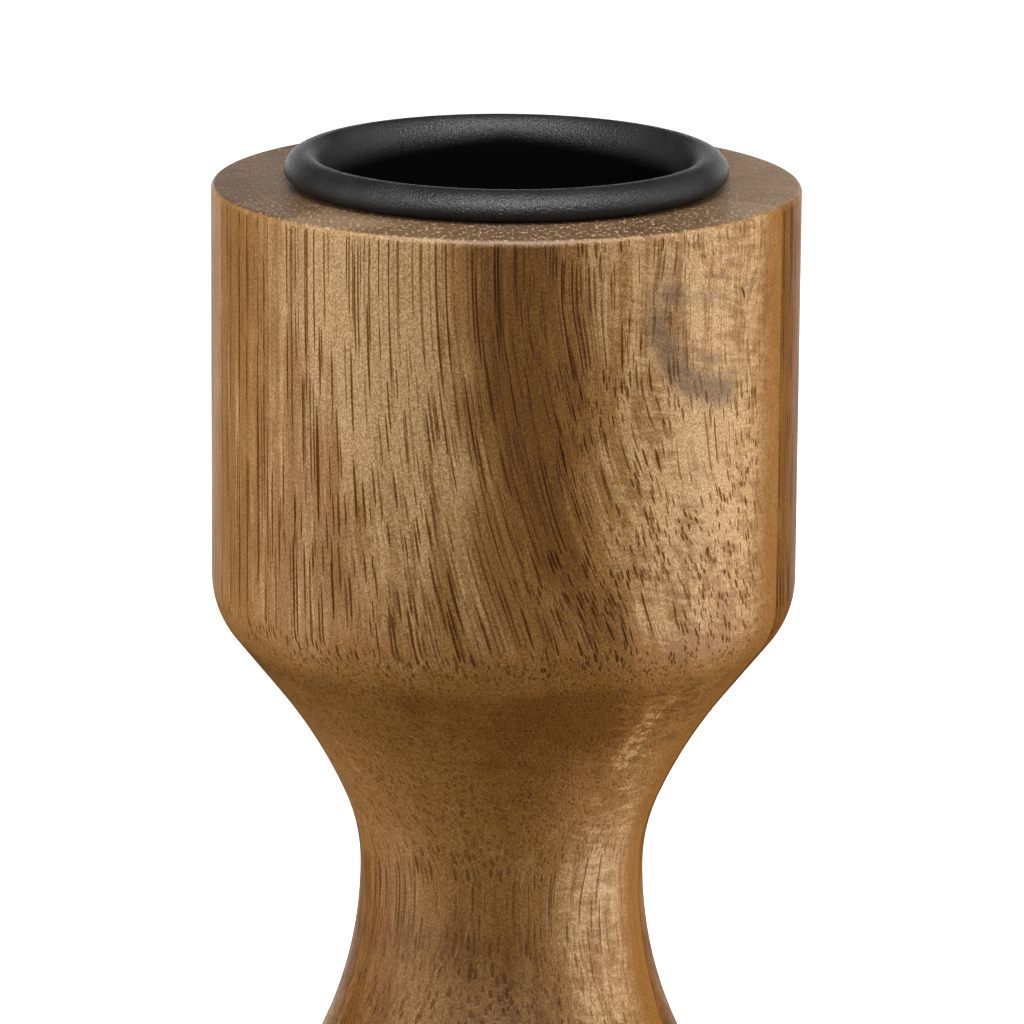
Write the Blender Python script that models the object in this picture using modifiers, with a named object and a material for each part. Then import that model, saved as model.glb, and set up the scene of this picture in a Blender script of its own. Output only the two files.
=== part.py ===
"""Turned hardwood stand with a drum head, a narrow waist and a flared foot.

The blank is glued up from four staves, and a black metal cup with a curled rim hangs in a well
bored in the head.  Metres, +Z up; the origin is on the axis, at the underside of the felt feet.
"""
import math

import bpy
from mathutils import Matrix, Vector

# ---- Stand: driving sizes -----------------------------------------------------------------
STAND_HEIGHT = 0.100             # resting surface to the flat top of the head
HEAD_DIAMETER = 0.036
HEAD_STRAIGHT = 0.0245           # straight side of the drum, down from its top face
HEAD_EDGE_EASE = 0.0004          # broken arris round the top face
HEAD_CORNER_RADIUS = 0.0054      # drum into cone
CONE_ANGLE = math.radians(38.8)  # flank of the cone, measured from the axis
UPPER_SWEEP_RADIUS = 0.032       # cone into throat
THROAT_ANGLE = math.radians(24)  # flank where the long sweep hands over to the throat
THROAT_RADIUS = 0.0117
WAIST_DIAMETER = 0.0176
LOWER_SWEEP_RADIUS = 0.0263      # waist into the lower cone
FOOT_DIAMETER = 0.060
FOOT_SHOULDER_RADIUS = 0.004
FOOT_EDGE_HEIGHT = 0.008         # straight band round the foot
FOOT_EDGE_EASE = 0.0006
UNDERSIDE_HOLLOW_DEPTH = 0.0012  # the foot stands on the ring round a shallow hollow
UNDERSIDE_RING_WIDTH = 0.0145
UNDERSIDE_SLOPE = 0.002
CENTRE_MARK_RADIUS = 0.0012      # pips left by the boring bit and by the lathe centre
CENTRE_MARK_DEPTH = 0.0014

# ---- Stand: how the blank is glued up -----------------------------------------------------
GLUE_ANGLE = math.radians(60)    # direction across the glue lines, from +X
GLUE_OFFSET = 0.0022             # the middle glue line's distance from the axis
STAVE_MARGIN = 0.0018            # the front stave runs this far past the head

# ---- Cup ----------------------------------------------------------------------------------
CUP_BORE = 0.0230
CUP_DEPTH = 0.0220               # from the top face of the head to the cup's floor
CUP_WALL = 0.0005
CUP_CORNER_RADIUS = 0.0020       # inside, wall into floor
CURL_DIAMETER = 0.0020           # outside of the rolled rim
CURL_TURN = math.radians(276)    # how far round the sheet is rolled

# ---- Felt feet ----------------------------------------------------------------------------
FELT_COUNT = 3
FELT_DIAMETER = 0.010
FELT_THICKNESS = 0.0010
FELT_INSET = 0.0022              # from the foot's outside to the felt
FELT_FIRST_ANGLE = math.radians(90)

# ---- Fits ---------------------------------------------------------------------------------
GAP = 0.0003                     # between pieces that touch
WELL_FLOOR_GAP = 0.0008          # the cup hangs by its rim, clear of the well's floor

# ---- Fineness of the turned surfaces ------------------------------------------------------
STAND_STEPS = 64
CUP_STEPS = 48
FELT_SIDES = 32
STAND_ARC_STEP = math.radians(7)  # turn between two points of an arc in the profile
CUP_ARC_STEP = math.radians(20)

# ---- Sizes that follow from them ----------------------------------------------------------
HEAD_RADIUS = HEAD_DIAMETER / 2
WAIST_RADIUS = WAIST_DIAMETER / 2
FOOT_RADIUS = FOOT_DIAMETER / 2
WOOD_BOTTOM = FELT_THICKNESS + GAP
CUP_INNER_RADIUS = CUP_BORE / 2
CUP_OUTER_RADIUS = CUP_INNER_RADIUS + CUP_WALL
CUP_FLOOR = STAND_HEIGHT - CUP_DEPTH
WELL_RADIUS = CUP_OUTER_RADIUS + GAP
WELL_FLOOR = CUP_FLOOR - CUP_WALL - WELL_FLOOR_GAP
CURL_RADIUS = CURL_DIAMETER / 2
CURL_CENTRE_RADIUS = CUP_INNER_RADIUS + CURL_RADIUS
CURL_CENTRE_HEIGHT = STAND_HEIGHT + GAP + CURL_RADIUS
STAVE_THICKNESS = HEAD_RADIUS + GLUE_OFFSET + STAVE_MARGIN
UNDERSIDE_HOLLOW_RADIUS = FOOT_RADIUS - UNDERSIDE_RING_WIDTH


# ---- Scene --------------------------------------------------------------------------------
def clear_scene():
    for old in list(bpy.data.objects):
        bpy.data.objects.remove(old, do_unlink=True)


def new_collection(name):
    collection = bpy.data.collections.new(name)
    bpy.context.scene.collection.children.link(collection)
    return collection


def new_material(name, colour, roughness, metallic=0.0):
    material = bpy.data.materials.new(name)
    material.use_nodes = True
    shader = material.node_tree.nodes["Principled BSDF"]
    shader.inputs["Base Color"].default_value = (*colour, 1.0)
    shader.inputs["Roughness"].default_value = roughness
    shader.inputs["Metallic"].default_value = metallic
    return material


# ---- Turned profiles ----------------------------------------------------------------------
def arc(centre_r, centre_z, radius, start, end, arc_step=STAND_ARC_STEP):
    """Points (r, z) round a centre, from one angle to another, both ends included."""
    count = max(2, math.ceil(abs(end - start) / arc_step))
    angles = [start + (end - start) * i / count for i in range(count + 1)]
    return [(centre_r + radius * math.cos(a), centre_z + radius * math.sin(a)) for a in angles]


def hollow_arc(start, radius, lean, end_lean):
    """A hollow sweep that starts at a point with the flank leaning in and ends at another lean."""
    r, z = start
    centre_r = r + radius * math.cos(lean)
    centre_z = z - radius * math.sin(lean)
    return arc(centre_r, centre_z, radius, math.pi - lean, math.pi - end_lean)


def cone_to_waist():
    """From the drum's straight side in to the waist: corner, cone, long sweep, throat."""
    step = HEAD_RADIUS - WAIST_RADIUS
    corner_step = HEAD_CORNER_RADIUS * (1 - math.cos(CONE_ANGLE))
    sweep_step = UPPER_SWEEP_RADIUS * (math.cos(THROAT_ANGLE) - math.cos(CONE_ANGLE))
    throat_step = THROAT_RADIUS * (1 - math.cos(THROAT_ANGLE))
    curved_step = corner_step + sweep_step + throat_step
    room = min(1.0, step / curved_step)      # the curves shrink together where the step is small
    straight = (step - curved_step * room) / math.sin(CONE_ANGLE)

    corner = HEAD_CORNER_RADIUS * room
    points = arc(HEAD_RADIUS - corner, STAND_HEIGHT - HEAD_STRAIGHT, corner, 0, -CONE_ANGLE)
    r, z = points[-1]
    r -= straight * math.sin(CONE_ANGLE)
    z -= straight * math.cos(CONE_ANGLE)
    points += hollow_arc((r, z), UPPER_SWEEP_RADIUS * room, CONE_ANGLE, THROAT_ANGLE)
    points += hollow_arc(points[-1], THROAT_RADIUS * room, THROAT_ANGLE, 0)[1:]
    return points


def waist_to_foot(waist_z):
    """From the waist out to the foot's straight band: sweep, cone and shoulder, all tangent."""
    step = FOOT_RADIUS - WAIST_RADIUS
    drop = waist_z - (WOOD_BOTTOM + FOOT_EDGE_HEIGHT)
    most = (step * step + drop * drop) / (2 * step)
    sweep = min(LOWER_SWEEP_RADIUS, most - FOOT_SHOULDER_RADIUS)
    radii = sweep + FOOT_SHOULDER_RADIUS
    straight = math.sqrt(max(0.0, (step - radii) ** 2 + drop * drop - radii * radii))
    lean = math.atan2(radii, straight) + math.atan2(step - radii, drop)

    points = hollow_arc((WAIST_RADIUS, waist_z), sweep, 0, -lean)[1:]
    shoulder_r = FOOT_RADIUS - FOOT_SHOULDER_RADIUS
    shoulder_z = WOOD_BOTTOM + FOOT_EDGE_HEIGHT
    points += arc(shoulder_r, shoulder_z, FOOT_SHOULDER_RADIUS, lean, 0)
    return points


def well_profile():
    """The bored well, from the bit's pip on the axis up to its mouth in the top face."""
    return [
        (0, WELL_FLOOR - CENTRE_MARK_DEPTH),
        (CENTRE_MARK_RADIUS, WELL_FLOOR),
        (WELL_RADIUS, WELL_FLOOR),
        (WELL_RADIUS, STAND_HEIGHT),
    ]


def underside_profile():
    """The foot's eased edge, its resting ring, the shallow hollow and the lathe centre's mark."""
    hollow_z = WOOD_BOTTOM + UNDERSIDE_HOLLOW_DEPTH
    return [
        (FOOT_RADIUS, WOOD_BOTTOM + FOOT_EDGE_EASE),
        (FOOT_RADIUS - FOOT_EDGE_EASE, WOOD_BOTTOM),
        (UNDERSIDE_HOLLOW_RADIUS, WOOD_BOTTOM),
        (UNDERSIDE_HOLLOW_RADIUS - UNDERSIDE_SLOPE, hollow_z),
        (CENTRE_MARK_RADIUS, hollow_z),
        (0, hollow_z + CENTRE_MARK_DEPTH),
    ]


def stand_profile():
    """The whole turned section: up the well, over the head, down the outside, in to the axis."""
    edge_r = HEAD_RADIUS - HEAD_EDGE_EASE
    edge_z = STAND_HEIGHT - HEAD_EDGE_EASE
    points = well_profile()
    points += arc(edge_r, edge_z, HEAD_EDGE_EASE, math.radians(90), 0)
    points += cone_to_waist()
    points += waist_to_foot(points[-1][1])
    return points + underside_profile()


def cup_profile():
    """The inside of the cup's sheet: floor, corner, wall, and the rim rolled outwards and down."""
    corner_r = CUP_INNER_RADIUS - CUP_CORNER_RADIUS
    corner_z = CUP_FLOOR + CUP_CORNER_RADIUS
    curl_end = math.pi - CURL_TURN
    points = [(0, CUP_FLOOR)]
    points += arc(corner_r, corner_z, CUP_CORNER_RADIUS, math.radians(-90), 0, CUP_ARC_STEP)
    points += arc(CURL_CENTRE_RADIUS, CURL_CENTRE_HEIGHT, CURL_RADIUS, math.pi, curl_end, CUP_ARC_STEP)
    return points


# ---- Turned objects -----------------------------------------------------------------------
def profile_mesh(name, points):
    mesh = bpy.data.meshes.new(name)
    vertices = [(r, 0, z) for r, z in points]
    edges = [(i, i + 1) for i in range(len(points) - 1)]
    mesh.from_pydata(vertices, edges, [])
    return mesh


def turned_object(name, mesh, steps, material, collection):
    obj = bpy.data.objects.new(name, mesh)
    collection.objects.link(obj)
    screw = obj.modifiers.new("Turning", "SCREW")
    screw.steps = steps
    screw.render_steps = steps
    screw.use_merge_vertices = True
    screw.merge_threshold = 0.00002
    screw.use_smooth_shade = True
    if not mesh.materials:
        mesh.materials.append(material)
    return obj


def hide_cutter(cutter):
    cutter.hide_render = True
    cutter.display_type = "WIRE"


def make_slab(name, near, far, collection):
    """A block between two planes across the glue lines, wider and taller than the stand."""
    reach = 2 * (FOOT_RADIUS + STAND_HEIGHT)
    bpy.ops.mesh.primitive_cube_add(size=1)
    slab = bpy.context.active_object
    slab.name = name
    size = Matrix.Diagonal((far - near, reach, reach, 1))
    slab.data.transform(size)
    middle = (near + far) / 2
    slab.location = Vector((math.cos(GLUE_ANGLE), math.sin(GLUE_ANGLE), 0)) * middle
    slab.rotation_euler = (0, 0, GLUE_ANGLE)
    for holder in list(slab.users_collection):
        holder.objects.unlink(slab)
    collection.objects.link(slab)
    hide_cutter(slab)
    return slab


def make_staves(wood, parts, cutters):
    """Four staves of one turned body, each kept between its own two glue planes."""
    beyond = 2 * FOOT_RADIUS
    front_plane = GLUE_OFFSET - STAVE_THICKNESS
    rear_plane = GLUE_OFFSET + STAVE_THICKNESS
    half = GAP / 2
    spans = {
        "front_foot_stave": (-beyond, front_plane - half),
        "front_stave": (front_plane + half, GLUE_OFFSET - half),
        "rear_stave": (GLUE_OFFSET + half, rear_plane - half),
        "rear_foot_stave": (rear_plane + half, beyond),
    }
    mesh = profile_mesh("stand_profile", stand_profile())
    for name, (near, far) in spans.items():
        stave = turned_object(name, mesh, STAND_STEPS, wood, parts)
        cut = stave.modifiers.new("Glue planes", "BOOLEAN")
        cut.operation = "INTERSECT"
        cut.solver = "EXACT"
        cut.object = make_slab(name + "_span", near, far, cutters)


def make_cup(metal, parts):
    """A drawn cup: one thin sheet whose rim is rolled outwards into a round bead."""
    mesh = profile_mesh("cup_profile", cup_profile())
    cup = turned_object("candle_cup", mesh, CUP_STEPS, metal, parts)
    sheet = cup.modifiers.new("Sheet", "SOLIDIFY")
    sheet.thickness = CUP_WALL
    sheet.offset = -1
    sheet.use_even_offset = True
    return cup


def make_felt_feet(felt, parts):
    ring = FOOT_RADIUS - FELT_INSET - FELT_DIAMETER / 2
    for i in range(FELT_COUNT):
        angle = FELT_FIRST_ANGLE + i * math.tau / FELT_COUNT
        bpy.ops.mesh.primitive_cylinder_add(
            vertices=FELT_SIDES, radius=FELT_DIAMETER / 2, depth=FELT_THICKNESS,
            location=(ring * math.cos(angle), ring * math.sin(angle), FELT_THICKNESS / 2))
        foot = bpy.context.active_object
        foot.name = f"felt_foot_{i + 1}"
        foot.data.materials.append(felt)
        foot.data.shade_smooth()
        foot.data.set_sharp_from_angle(angle=math.radians(40))
        for holder in list(foot.users_collection):
            holder.objects.unlink(foot)
        parts.objects.link(foot)


def main():
    clear_scene()
    parts = new_collection("turned_stand")
    cutters = new_collection("cutters")
    wood = new_material("oiled_hardwood", (0.30, 0.16, 0.065), 0.5)
    metal = new_material("black_metal", (0.012, 0.012, 0.013), 0.45, 1.0)
    felt = new_material("brown_felt", (0.06, 0.045, 0.035), 0.95)
    make_staves(wood, parts, cutters)
    make_cup(metal, parts)
    make_felt_feet(felt, parts)


main()
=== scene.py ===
import math
from types import SimpleNamespace

import bmesh
import bpy
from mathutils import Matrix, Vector


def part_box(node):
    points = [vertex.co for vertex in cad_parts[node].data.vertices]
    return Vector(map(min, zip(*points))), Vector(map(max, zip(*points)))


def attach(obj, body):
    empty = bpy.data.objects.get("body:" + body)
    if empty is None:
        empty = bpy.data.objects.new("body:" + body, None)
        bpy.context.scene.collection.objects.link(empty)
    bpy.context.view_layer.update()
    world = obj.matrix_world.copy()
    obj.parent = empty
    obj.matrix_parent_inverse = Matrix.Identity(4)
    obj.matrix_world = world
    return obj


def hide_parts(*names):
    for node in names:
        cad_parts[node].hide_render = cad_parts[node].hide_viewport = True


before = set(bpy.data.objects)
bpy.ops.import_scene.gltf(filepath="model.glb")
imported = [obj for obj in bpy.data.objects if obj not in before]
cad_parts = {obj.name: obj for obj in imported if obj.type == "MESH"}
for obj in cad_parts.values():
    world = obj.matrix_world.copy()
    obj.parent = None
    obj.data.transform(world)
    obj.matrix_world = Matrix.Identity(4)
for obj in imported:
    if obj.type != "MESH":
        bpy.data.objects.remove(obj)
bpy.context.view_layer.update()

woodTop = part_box("front_stave")[1].z
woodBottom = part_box("front_stave")[0].z
toMillimetres = 1000.0


class Wire:
    # a shader socket that takes part in plain Python sums; each sum adds a Math node
    def __init__(self, shop, socket):
        self.shop = shop
        self.socket = socket

    def maths(self, operation, *values):
        sockets = dict(enumerate(values))
        return self.shop.addNode("ShaderNodeMath", {"operation": operation}, sockets)

    def __add__(self, other):
        return self.maths("ADD", self, other)

    def __radd__(self, other):
        return self.maths("ADD", other, self)

    def __sub__(self, other):
        return self.maths("SUBTRACT", self, other)

    def __rsub__(self, other):
        return self.maths("SUBTRACT", other, self)

    def __mul__(self, other):
        return self.maths("MULTIPLY", self, other)

    def __rmul__(self, other):
        return self.maths("MULTIPLY", other, self)

    def __truediv__(self, other):
        return self.maths("DIVIDE", self, other)

    def __neg__(self):
        return self.maths("MULTIPLY", self, -1.0)

    def __pow__(self, other):
        return self.maths("POWER", self, other)

    def lesser(self, other):
        return self.maths("MINIMUM", self, other)

    def greater(self, other):
        return self.maths("MAXIMUM", self, other)

    def size(self):
        return self.maths("ABSOLUTE", self)

    def root(self):
        return self.maths("SQRT", self)


class FinishShop:
    # one material: addNode makes any node, the rest are the few recipes used again and again
    def __init__(self, name):
        self.material = bpy.data.materials.new(name)
        self.material.use_nodes = True
        self.tree = self.material.node_tree
        self.tree.nodes.clear()

    def addNode(self, kind, settings=None, sockets=None, output=0):
        node = self.tree.nodes.new(kind)
        for key, value in (settings or {}).items():
            if key == "stops":
                self.setStops(node.color_ramp, value)
            else:
                setattr(node, key, value)
        for key, value in (sockets or {}).items():
            if isinstance(value, Wire):
                self.tree.links.new(value.socket, node.inputs[key])
            else:
                node.inputs[key].default_value = value
        return Wire(self, node.outputs[output]) if len(node.outputs) else node

    def setStops(self, ramp, stops):
        while len(ramp.elements) < len(stops):
            ramp.elements.new(1.0)
        for element, (place, colour) in zip(ramp.elements, stops):
            element.position = place
            element.color = (*colour, 1.0)

    def millimetres(self):
        place = self.addNode("ShaderNodeTexCoord", output="Object")
        return self.addNode("ShaderNodeVectorMath", {"operation": "SCALE"},
                            {0: place, "Scale": toMillimetres})

    def split(self, vector):
        first = self.addNode("ShaderNodeSeparateXYZ", sockets={0: vector})
        outputs = first.socket.node.outputs
        return [Wire(self, outputs[i]) for i in range(3)]

    def join(self, x, y, z):
        return self.addNode("ShaderNodeCombineXYZ", sockets={0: x, 1: y, 2: z})

    def fade(self, value, low, high, bottom=0.0, top=1.0):
        return self.addNode("ShaderNodeMapRange", {"interpolation_type": "SMOOTHSTEP"},
                            {0: value, 1: low, 2: high, 3: bottom, 4: top})

    def band(self, value, middle, core, spread, amount=1.0, beyond=0.0):
        # the whole amount within the core, faded out on both sides of it
        return self.fade((value - middle).size(), core, spread, amount, beyond)

    def noise(self, vector, scale, detail=2.0, roughness=0.5, distortion=0.0, output="Factor"):
        node = self.addNode("ShaderNodeTexNoise", {"noise_dimensions": "3D"},
                            {"Vector": vector, "Scale": scale, "Detail": detail,
                             "Roughness": roughness, "Distortion": distortion})
        outputs = node.socket.node.outputs
        return Wire(self, outputs[0] if output == "Factor" else outputs[1])

    def blendColour(self, amount, first, second, mode="MIX"):
        node = self.addNode("ShaderNodeMix", {"data_type": "RGBA", "blend_type": mode})
        mix = node.socket.node
        for socket, value in ((mix.inputs[0], amount), (mix.inputs[6], first), (mix.inputs[7], second)):
            if isinstance(value, Wire):
                self.tree.links.new(value.socket, socket)
            elif socket.type == "RGBA":
                socket.default_value = (*value, 1.0)
            else:
                socket.default_value = value
        return Wire(self, mix.outputs[2])

    def shader(self, sockets, height=None, relief=0.0):
        if height is not None:
            bump = self.addNode("ShaderNodeBump", None,
                                {"Height": height, "Distance": relief, "Strength": 1.0})
            sockets = {**sockets, "Normal": bump}
        return self.addNode("ShaderNodeBsdfPrincipled", None, sockets)

    def close(self, surface):
        self.addNode("ShaderNodeOutputMaterial", None, {"Surface": surface})
        return self.material

    def finish(self, sockets, height=None, relief=0.0):
        return self.close(self.shader(sockets, height, relief))


# Turned wood. Lengths are millimetres; down is measured from the top face. A fade is (from, to, amount
# before, amount after) and a band is (middle, half its core, half its spread, amount in its core).
woodLook = {
    "baseTone": (0.342, 0.156, 0.036),
    "paleTone": (0.588, 0.350, 0.147),
    "darkTone": (0.212, 0.082, 0.010),
    # painted highlight colour of the rounded corner
    "cornerHighlightTone": (0.400, 0.180, 0.036),
    "toneReach": 0.42,            # the tone at which the wood is fully dark or fully pale
    "leanReach": 9.5,             # how far the grain drifts sideways on its way down the head
    "leanDown": (1.0, 42.0),
    "leanAcross": (-17.0, 9.0),
    "calmWave": 0.22,
    "wildWave": 2.6,
    "waveAcross": (-4.0, 14.0),
    "layerLean": (0.9, 0.25),
    "bandDepth": 0.8,
    "streakDepth": 0.9,
    "fibreDepth": 0.45,
    "mottleDepth": (44.0, 58.0, 0.55, 0.15),
    "pith": (13.0, 44.0),         # growth rings round it show as long arches on the spreading foot
    "ringPitch": 2.4,
    "ringWander": 2.0,
    "ringTaper": 0.02,
    "ringDepth": (46.0, 60.0, 0.0, 0.13),
    "coneTop": (24.5, 28.5),
    "coneEnd": (38.0, 43.0, 1.0, 0.0),
    "coneEvenness": 0.6,
    "coneChatter": 0.28,
    # painted shade over the cone, which faces down
    "paintedConeShade": 0.06,
    "corner": (26.2, 0.8, 2.2),
    "cornerHighlightBlend": 0.35,
    # painted shade just under the corner, where the surface turns down
    "shadeUnderCornerTop": (27.2, 28.6),
    "shadeUnderCornerEnd": (30.0, 36.0, 0.24, 0.0),
    "paintedHighlightAngle": math.radians(44),   # painted highlight: where the right lamp's light would catch the diving fibres, round to the right
    "paintedHighlightCore": 0.15,
    "paintedHighlightSpread": (36.0, 44.0, 0.66, 0.50),
    "paintedHighlightDown": (15.0, 2.0, 8.0, 0.38, 0.25),
    "paintedHighlightCorner": 0.6,
    "rippleDepth": 0.9,
    "rippleSlope": (2.2, 0.5),
    "paintedGlint": (0.25, 0.75, 0.62, 1.38),
    "paintedGlintGreen": 1.3,
    "paintedGlintBlue": 1.7,
    "roughness": 0.38,
    "wormRoughness": 0.12,
    "wormHeight": 0.30,
    "fibreHeight": 0.20,
    "ior": 1.48,
    "reliefHeight": 0.00006,
}

# Each stave is its own piece of timber: where its pattern starts, its tint, its shine, how far its
# grain drifts and how strongly the painted highlight shows on it, and whether it shows the front stave's
# layers, knot and other marks.
staveLook = {
    "front_stave": {"shift": (0.0, 0.0), "tint": (1.0, 1.0, 1.0),
                    "gloss": 0.22, "lean": 1.0, "figured": True},
    "rear_stave": {"shift": (31.0, 17.0), "tint": (0.54, 0.44, 0.20),
                   "gloss": 0.05, "lean": 0.12, "figured": False},
    "front_foot_stave": {"shift": (-23.0, 41.0), "tint": (0.92, 0.90, 0.86),
                         "gloss": 0.22, "lean": 0.3, "figured": False},
    "rear_foot_stave": {"shift": (57.0, -13.0), "tint": (1.05, 1.04, 1.0),
                        "gloss": 0.22, "lean": 0.2, "figured": False},
}

# Patterns in the timber: cells to the millimetre along three directions, then detail, roughness and
# distortion.
timberPatterns = {
    "wave": ((0.16, 0.16, 0.10), 1.0, 0.5, 0.0),
    "bands": ((0.30, 0.06, 0.016), 2.0, 0.55, 0.0),
    "streaks": ((1.3, 1.3, 0.06), 2.0, 0.6, 0.0),
    "fibres": ((5.5, 5.5, 0.42), 2.0, 0.6, 0.0),
    "mottle": ((0.42, 0.42, 0.22), 2.0, 0.5, 0.0),
    "chatter": ((0.12, 0.12, 2.6), 2.0, 0.6, 0.0),    # the turning tool's, on the cone
    "flecks": ((1.5, 1.5, 2.5), 2.0, 0.7, 0.0),
    "ripple": ((0.55, 0.55, 1.0), 2.0, 0.6, 0.4),
    "worms": ((10.5, 10.5, 8.0), 1.0, 0.6, 0.6),
    "plugs": ((2.0, 2.0, 0.30), 1.0, 0.5, 0.0),
    "openPores": ((4.2, 1.7, 1.0), 2.0, 0.7, 0.0),
    "fray": ((0.5, 0.8, 1.0), 2.0, 0.55, 0.3),
    "brushed": ((1.2, 3.0, 1.0), 2.0, 0.6, 0.5),
    "strokes": ((1.9, 0.22, 1.0), 2.0, 0.6, 0.2),
    "wander": ((0.4, 1.0, 1.0), 2.0, 0.5, 0.0),
    "gaps": ((0.6, 0.5, 1.0), 1.0, 0.5, 0.0),
}


def pattern(shop, name, *directions, output="Factor"):
    scales, detail, roughness, distortion = timberPatterns[name]
    stretched = [direction * scale for direction, scale in zip(directions, scales)]
    return shop.noise(shop.join(*stretched), 1.0, detail, roughness, distortion, output)


def grainFlow(shop, spot, stave):
    # straightens the drifting, waving fibres, so that a vessel is a dot in flowX and flowY
    x, y = spot.x, spot.y
    drift = shop.fade(spot.down, *woodLook["leanDown"]) * shop.fade(x, *woodLook["leanAcross"])
    drift = drift * (woodLook["leanReach"] * stave["lean"])
    wild = shop.fade(x, *woodLook["waveAcross"]) * stave["lean"]
    reach = woodLook["calmWave"] + wild * (woodLook["wildWave"] - woodLook["calmWave"])
    waveX, waveY = shop.split(pattern(shop, "wave", x, y, spot.z, output="Color"))[:2]
    flowX = x - drift + (waveX - 0.5) * reach + stave["shift"][0]
    flowY = y + (waveY - 0.5) * reach + stave["shift"][1]
    return flowX, flowY


def measureSpot(shop, stave):
    # everything the timber's pattern is measured by at one spot
    spot = SimpleNamespace()
    spot.x, spot.y, spot.z = shop.split(shop.millimetres())
    spot.down = woodTop * toMillimetres - spot.z
    spot.turn = spot.x.maths("ARCTAN2", spot.x, -spot.y)
    spot.around = spot.turn * (standShape["headRadius"] * toMillimetres)
    spot.flowX, spot.flowY = grainFlow(shop, spot, stave)
    spot.layer = spot.flowX * woodLook["layerLean"][0] + spot.flowY * woodLook["layerLean"][1]
    spot.onCone = shop.fade(spot.down, *woodLook["coneTop"]) * shop.fade(spot.down, *woodLook["coneEnd"])
    spot.onCorner = shop.band(spot.down, *woodLook["corner"])
    spot.streaks = pattern(shop, "streaks", spot.flowX, spot.flowY, spot.z)
    spot.fibres = pattern(shop, "fibres", spot.flowX, spot.flowY, spot.z)
    spot.mottle = pattern(shop, "mottle", spot.x, spot.y, spot.z)
    return spot


def timberTone(shop, spot):
    # broad layers that follow the grain, narrower streaks, single fibres, growth rings and tool chatter, and
    # painted shade on the cone that faces down, most of all just under the corner
    look, down = woodLook, spot.down
    bands = pattern(shop, "bands", spot.layer, spot.flowY, spot.z)
    tone = (bands - 0.5) * look["bandDepth"] + (spot.streaks - 0.5) * look["streakDepth"]
    tone = tone + (spot.fibres - 0.5) * look["fibreDepth"]
    tone = tone + (spot.mottle - 0.5) * shop.fade(down, *look["mottleDepth"])
    tone = tone * (1.0 - spot.onCone * look["coneEvenness"])
    # painted shade just under the corner
    tone = tone - shop.fade(down, *look["shadeUnderCornerTop"]) * shop.fade(down, *look["shadeUnderCornerEnd"])
    pithX, pithY = spot.flowX + look["pith"][0], spot.flowY + look["pith"][1]
    growth = (pithX * pithX + pithY * pithY).root() + bands * look["ringWander"] + spot.z * look["ringTaper"]
    rings = growth.maths("SINE", growth * look["ringPitch"])
    tone = tone + rings * shop.fade(down, *look["ringDepth"])
    chatter = (pattern(shop, "chatter", spot.x, spot.y, spot.z) - 0.5) * look["coneChatter"]
    return tone + spot.onCone * (chatter - look["paintedConeShade"])


# The front stave's own layers, its lighter and darker places, and a painted highlight near the top of the
# head on the right.
frontFigure = {
    "darkLayer": -5.0,
    "darkDrift": (6.0, 20.0, 2.0, 0.0),
    "darkSpread": (0.2, 4.0, 0.36, 0.0),
    "darkDown": (26.0, 42.0, 1.0, 0.15),
    "leftEdge": (-16.8, -13.5, 0.18, 0.0),
    "coneRight": (7.0, 11.0, 0.0, 0.14),
    "neckLeft": (-8.6, -5.0, 0.34, 0.0),
    "neckDown": (39.0, 44.0),
    "frontLine": (0.0, 1.5, 5.0, 0.15),
    "frontLineDown": (10.0, 16.0, 1.0, 0.0),
    "blotPlace": (0.6, 35.0),     # across, and down
    "blotSquash": 0.6,
    "blot": (1.0, 5.0, 0.15, 0.0),
    "flank": (-8.4, 0.4, 3.4, 0.31),
    "flankDown": (38.0, 48.0),
    "leftGlow": (-13.0, 2.0, 0.09, 0.0),
    "paleLayer": (-10.8, 1.2, 5.4),
    "paleDown": (7.0, 24.0, 0.58, 0.08),
    "topHighlightAcross": 7.2,
    "topHighlightSquash": 0.3,
    "topHighlight": (1.0, 5.0, 0.12, 0.0),
    "streakPlace": (9.7, 29.2),
    "streakSlope": 0.54,
    "streakWidth": (0.2, 1.2, 1.0, 0.0),
    "streakDown": (31.8, 1.5, 3.6, 0.50),
    "streakFlecks": (0.38, 0.60),
}


def figureTone(shop, spot):
    look, x, down = frontFigure, spot.x, spot.down
    fromHeart = spot.layer - look["darkLayer"] - shop.fade(down, *look["darkDrift"])
    dark = shop.fade(fromHeart.size(), *look["darkSpread"]) * shop.fade(down, *look["darkDown"])
    dark = dark + shop.fade(x, *look["leftEdge"]) + spot.onCone * shop.fade(x, *look["coneRight"])
    dark = dark + shop.fade(x, *look["neckLeft"]) * shop.fade(down, *look["neckDown"])
    dark = dark + shop.band(x, *look["frontLine"]) * shop.fade(down, *look["frontLineDown"])
    blotAcross, blotDown = look["blotPlace"]
    fromBlot = (x - blotAcross).size() + (down - blotDown).size() * look["blotSquash"]
    dark = dark + shop.fade(fromBlot, *look["blot"])
    dark = dark + shop.band(spot.layer, *look["flank"]) * shop.fade(down, *look["flankDown"])

    light = shop.band(spot.layer, *look["paleLayer"]) * shop.fade(down, *look["paleDown"])
    # painted highlight near the top of the head on the right
    fromTopHighlight = (x - look["topHighlightAcross"]).size() + down * look["topHighlightSquash"]
    light = light + shop.fade(x, *look["leftGlow"]) + shop.fade(fromTopHighlight, *look["topHighlight"])
    streakAcross, streakDown = look["streakPlace"]
    fromStreak = x - streakAcross + (down - streakDown) * look["streakSlope"]
    streak = shop.fade(fromStreak.size(), *look["streakWidth"]) * shop.band(down, *look["streakDown"])
    flecks = pattern(shop, "flecks", x, spot.y, spot.z)
    return light + streak * shop.fade(flecks, *look["streakFlecks"]) - dark


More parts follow.
